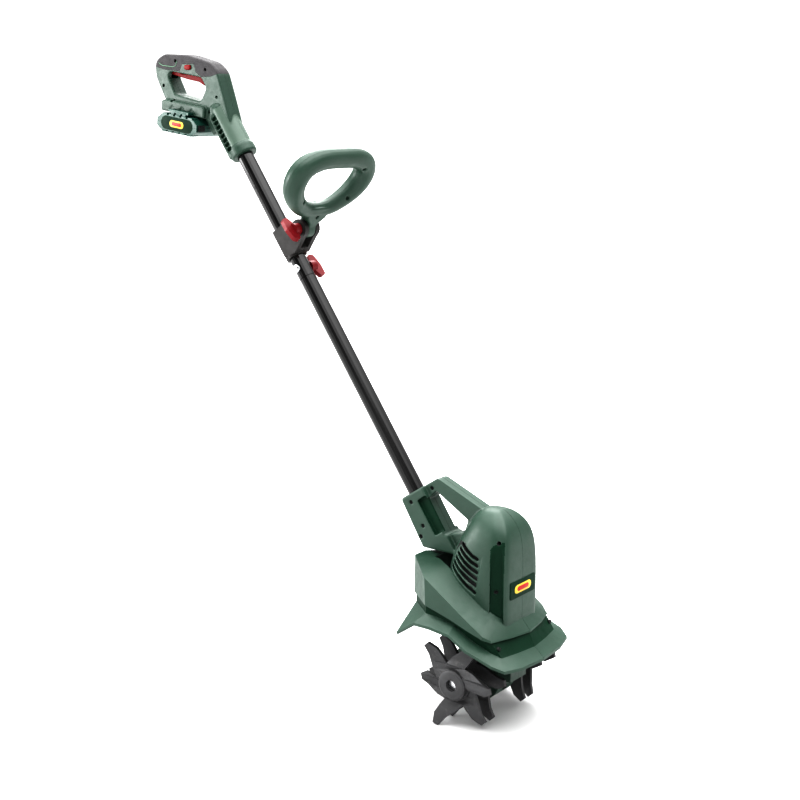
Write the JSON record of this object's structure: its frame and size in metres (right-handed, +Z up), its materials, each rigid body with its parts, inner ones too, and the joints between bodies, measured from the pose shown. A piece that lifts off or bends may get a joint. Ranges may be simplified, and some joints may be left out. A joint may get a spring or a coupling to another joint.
{
  "type": "cordless garden tiller",
  "caption": "Hand-held cordless garden tiller with a battery D-handle, angled two-piece pole, tilting loop handle, geared motor head, guard and hooked tine discs.",
  "frame": {"origin": "under the middle of the bounding box, at the height of the lowest tine tip", "axes": "+Z up, -Y forward (motor head and guard), +Y back to the rear grip, +X to the machine's left; the pole leans back 35 degrees"},
  "size_m": [0.2258, 0.894, 1.1249],
  "materials": {
    "green_shell": "satin moulded",
    "battery_shell": "satin moulded",
    "soft_grip": "matt",
    "red_control": "satin",
    "wing_knob": "satin",
    "black_tube": "gloss",
    "black_plastic": "matt",
    "tine_iron": "painted",
    "steel": "bright",
    "bronze": "machined",
    "label": "satin",
    "cell": "wrapped"
  },
  "bodies": {
    "frame": {"axle_bearing_left": "steel", "axle_bearing_right": "steel", "badge_plate": "label", "clamp_bolt": "steel", "clamp_left": "black_plastic", "clamp_right": "black_plastic", "gearcase_left": "green_shell", "gearcase_right": "green_shell", "guard_left": "green_shell", "guard_right": "green_shell", "handle_left": "green_shell", "handle_right": "green_shell", "handle_screw_1": "steel", "handle_screw_2": "steel", "handle_screw_3": "steel", "handle_screw_4": "steel", "housing_left": "green_shell", "housing_right": "green_shell", "housing_screw_1": "steel", "housing_screw_2": "steel", "housing_screw_3": "steel", "housing_screw_4": "steel", "joint_bolt": "steel", "lower_tube": "black_tube", "motor_cable": "black_plastic", "motor_can": "steel", "soft_grip": "soft_grip", "terminal_block": "black_plastic", "trigger_pin": "steel", "trigger_switch": "black_plastic", "upper_tube": "black_tube"},
    "rotor": {"tine_axle": "steel", "worm_wheel": "bronze", "tine_outer_right": "tine_iron", "tine_inner_right": "tine_iron", "tine_inner_left": "tine_iron", "tine_outer_left": "tine_iron", "tine_pin_right": "steel", "tine_pin_left": "steel"},
    "motor_rotor": {"worm_shaft": "steel", "cooling_fan": "black_plastic"},
    "loop": {"loop_handle_front": "green_shell", "loop_handle_rear": "green_shell", "loop_screw_1": "steel", "loop_screw_2": "steel", "loop_screw_3": "steel", "loop_screw_4": "steel", "loop_screw_5": "steel"},
    "trigger": {"trigger": "red_control"},
    "lock_off": {"lock_off_button": "red_control"},
    "battery": {"battery_case_top": "battery_shell", "battery_case_bottom": "battery_shell", "battery_cell_1": "cell", "battery_cell_2": "cell", "battery_cell_3": "cell", "battery_cell_4": "cell", "battery_cell_5": "cell"},
    "battery_latch": {"battery_release_button": "black_plastic"},
    "clamp_knob": {"clamp_wing_knob": "wing_knob"},
    "joint_knob": {"joint_wing_knob": "wing_knob"}
  },
  "joints": [
    {"name": "tine_spin", "type": "hinge", "parent": "frame", "child": "rotor", "pos_m": [0, -0.32654, 0.07704], "axis": [1, 0, 0], "continuous": true},
    {"name": "motor_spin", "type": "hinge", "parent": "frame", "child": "motor_rotor", "pos_m": [0, -0.36354, 0.22004], "axis": [0, 0, 1], "continuous": true},
    {"name": "loop_tilt", "type": "hinge", "parent": "frame", "child": "loop", "pos_m": [0, 0.0751, 0.81394], "axis": [1, 0, 0], "range_deg": [-45, 60]},
    {"name": "trigger_squeeze", "type": "hinge", "parent": "frame", "child": "trigger", "pos_m": [0, 0.41246, 1.09704], "axis": [1, 0, 0], "range_deg": [-4.5, 0], "stiffness_Nm_per_rad": 3},
    {"name": "lock_off_press", "type": "slide", "parent": "frame", "child": "lock_off", "axis": [1, 0, 0], "range_m": [0, 0.003], "stiffness_N_per_m": 200},
    {"name": "battery_slide", "type": "slide", "parent": "frame", "child": "battery", "axis": [-1, 0, 0], "range_m": [0, 0.08]},
    {"name": "battery_release_press", "type": "slide", "parent": "battery", "child": "battery_latch", "axis": [0, 0.9903, 0.1392], "range_m": [0, 0.0025], "stiffness_N_per_m": 300},
    {"name": "clamp_knob_turn", "type": "hinge", "parent": "frame", "child": "clamp_knob", "pos_m": [0, 0.0751, 0.81394], "axis": [1, 0, 0], "continuous": true},
    {"name": "joint_knob_turn", "type": "hinge", "parent": "frame", "child": "joint_knob", "pos_m": [0, 0.08345, 0.74218], "axis": [1, 0, 0], "continuous": true}
  ],
  "couplings": [
    {"joint": "motor_spin", "follows": "tine_spin", "ratio": 36}
  ]
}
